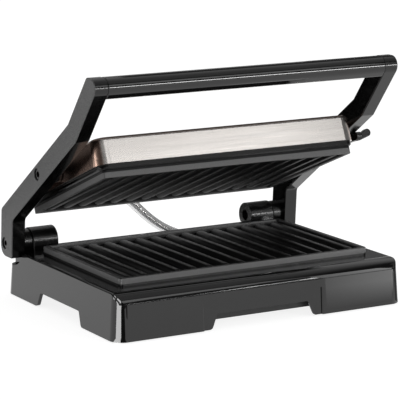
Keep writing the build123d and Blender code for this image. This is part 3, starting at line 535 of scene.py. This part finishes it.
def make_floor():
    """Plain pale floor. The camera and the mirrors see it white, with the press's soft shadow."""
    mesh = bpy.data.meshes.new("floor")
    corners = [(x * FLOOR_HALF, y * FLOOR_HALF, 0.0) for x, y in ((-1, -1), (1, -1), (1, 1), (-1, 1))]
    mesh.from_pydata(corners, [], [(0, 1, 2, 3)])
    floor = bpy.data.objects.new("floor", mesh)
    scene.collection.objects.link(floor)
    m = new_material("floor")
    seen = m.rays("Is Camera Ray", "Is Glossy Ray", "Is Transmission Ray")
    glow = m.spread(seen, high=1.0 - FLOOR_SHADOW_SHARE / 2, from_low=0.0, from_high=1.0)
    m.feed("Base Color", m.mix(seen, grey(FLOOR_LIGHT_GREY), grey(FLOOR_SHADOW_SHARE)))
    m.feed("Emission Strength", glow)
    m.fix("Emission Color", (*WHITE, 1.0))
    m.fix("Roughness", 0.9)
    m.fix("Specular IOR Level", 0.0)
    mesh.materials.append(m.holder)


def make_world():
    """Plain soft light from all round. Mirrors see a white backdrop low behind and a darker room in front."""
    world = bpy.data.worlds.new("world")
    scene.world = world
    w = Nodes(world, "Background")
    direction = w.split(w.coordinates("Generated"))
    behind = w.ramp(direction["Z"], BACKDROP_BEHIND)
    before = w.ramp(direction["Z"], ROOM_BEFORE)
    room = w.mix(w.rise(direction["Y"], start=-0.25, end=0.25), before, behind)
    lit = w.mix(w.rays("Is Glossy Ray", "Is Transmission Ray"), grey(AMBIENT), room)
    w.feed("Color", w.mix(w.rays("Is Camera Ray"), lit, WHITE))


make_floor()
make_world()


# Cards that only glossy surfaces mirror, and lamps. Those called flags are dark.

CORNER_RADIUS = 11.0 * MM
WEDGE_REACH = 0.02
WEDGE_HEIGHT = 0.042
WEDGE_LIFT = 0.001
CARD_FADE_SHARE = 0.4
STUDIO_RADIUS = 1.4
SIDE_RADIUS = 0.8

base_low, base_high = (Vector(corner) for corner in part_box("base_housing"))
left_corner = Vector((base_low.x + CORNER_RADIUS, base_low.y + CORNER_RADIUS, 0.0))
right_corner = Vector((base_high.x - CORNER_RADIUS, base_low.y + CORNER_RADIUS, 0.0))


def card(name, corners, faces, brightness):
    """Card that shows only in glossy surfaces."""
    mesh = bpy.data.meshes.new(name)
    mesh.from_pydata(corners, [], faces)
    piece = bpy.data.objects.new(name, mesh)
    for kind in ("camera", "diffuse", "transmission", "volume_scatter", "shadow"):
        setattr(piece, "visible_" + kind, False)
    scene.collection.objects.link(piece)
    m = new_material(name)
    m.fix("Base Color", (*grey(0.0), 1.0))
    m.fix("Specular IOR Level", 0.0)
    m.fix("Emission Color", (*WHITE, 1.0))
    m.fix("Emission Strength", brightness)
    mesh.materials.append(m.holder)
    return piece, m


def bearing(angle, distance):
    """Offset on the floor, by the angle from straight ahead of the press towards its left."""
    turn = math.radians(angle)
    return Vector((-math.sin(turn), -math.cos(turn), 0.0)) * distance


def raised(spot, height):
    return spot + Vector((0.0, 0.0, height))


def wedge_card(name, corner, first, last, brightness):
    """Card on the floor that fans out from one of the base's front corners, and stands up at its far end."""
    apex = raised(corner, WEDGE_LIFT)
    low = [apex + bearing(angle, WEDGE_REACH) for angle in (first, last)]
    high = [raised(spot, WEDGE_HEIGHT) for spot in low]
    card(name, [apex, *low, *high], [(0, 1, 2), (1, 2, 4, 3)], brightness)


def fading_card(name, first, last, height, start, end):
    """Upright card over a line on the floor. Its brightness goes from start to end along the line, and is the
    floor's white at its foot."""
    along = last - first
    length = along.length
    corners = [(0.0, 0.0, 0.0), (length, 0.0, 0.0), (length, 0.0, height), (0.0, 0.0, height)]
    piece, m = card(name, corners, [(0, 1, 2, 3)], 1.0)
    piece.location = first
    piece.rotation_euler = (0.0, 0.0, math.atan2(along.y, along.x))
    spot = m.split(m.coordinates("Generated"))
    along_line = m.spread(spot["X"], low=start, high=end, from_low=0.0, from_high=1.0)
    upwards = m.rise(spot["Z"], start=0.0, end=CARD_FADE_SHARE)
    beyond_white = m.compute("MULTIPLY", m.compute("SUBTRACT", along_line, 1.0), upwards)
    m.feed("Emission Strength", m.compute("ADD", beyond_white, 1.0))


def upright_card(name, first, last, bottom, top, brightness):
    """Upright card over a line on the floor."""
    corners = [raised(first, bottom), raised(last, bottom), raised(last, top), raised(first, top)]
    card(name, corners, [(0, 1, 2, 3)], brightness)


def flat_card(name, spots, height, brightness):
    """Level card over spots given, like its height, in the drawing's millimetres."""
    card(name, [place(x, y, height) for x, y in spots], [(0, 1, 2, 3)], brightness)


def softbox(name, spot, aim, width, height, brightness):
    """Rectangular lamp that faces a point. Brightness 1 looks white in a mirror."""
    data = bpy.data.lights.new(name, "AREA")
    data.shape = "RECTANGLE"
    data.size = width
    data.size_y = height
    data.energy = brightness * math.pi * width * height
    lamp = bpy.data.objects.new(name, data)
    lamp.location = spot
    lamp.rotation_euler = (Vector(aim) - Vector(spot)).to_track_quat("-Z", "Y").to_euler()
    lamp.visible_camera = False
    scene.collection.objects.link(lamp)


# Cards close to the base's front corners, and before its right front leg
wedge_card("bright_card", left_corner, first=33.0, last=66.0, brightness=10.0)
wedge_card("dark_card", left_corner, first=7.0, last=33.0, brightness=0.06)
wedge_card("right_flag", right_corner, first=-96.0, last=-48.0, brightness=0.25)
fading_card("leg_card", place(71.0, -118.0, 1.0), place(150.0, -118.0, 1.0),
            height=0.045, start=1.7, end=3.3)

# Cards in front and to the left
upright_card("corner_card", bearing(-8.0, STUDIO_RADIUS), bearing(14.0, STUDIO_RADIUS),
             bottom=0.47, top=1.06, brightness=2.0)
upright_card("side_card", left_corner + bearing(92.0, SIDE_RADIUS), left_corner + bearing(122.0, SIDE_RADIUS),
             bottom=0.10, top=0.20, brightness=6.0)
upright_card("left_card", bearing(14.0, STUDIO_RADIUS), bearing(50.0, STUDIO_RADIUS),
             bottom=0.10, top=0.75, brightness=0.9)

# Flags behind the press, on the floor and above
upright_card("deck_flag", place(602.0, 785.0, 0.0), place(748.0, 702.0, 0.0),
             bottom=0.31, top=0.65, brightness=0.1)
upright_card("arm_flag", place(-320.0, 430.0, 0.0), place(-26.0, 430.0, 0.0),
             bottom=0.001, top=0.16, brightness=0.0)
flat_card("rear_flag", ((-195.0, 430.0), (-26.0, 430.0), (77.0, 250.0), (-92.0, 250.0)),
          height=1.0, brightness=0.0)
flat_card("edge_flag", ((50.0, 70.0), (420.0, 70.0), (600.0, 620.0), (220.0, 620.0)),
          height=480.0, brightness=0.1)

softbox("front_wide", spot=(0.53, -1.33, 0.846), aim=(0.0, 0.0, 0.13),
        width=0.95, height=0.36, brightness=1.78)
softbox("front_strip", spot=(0.848, -1.357, 0.29), aim=(0.0, 0.0, 0.10),
        width=0.7, height=0.09, brightness=26.0)

scene.view_settings.view_transform = "Standard"
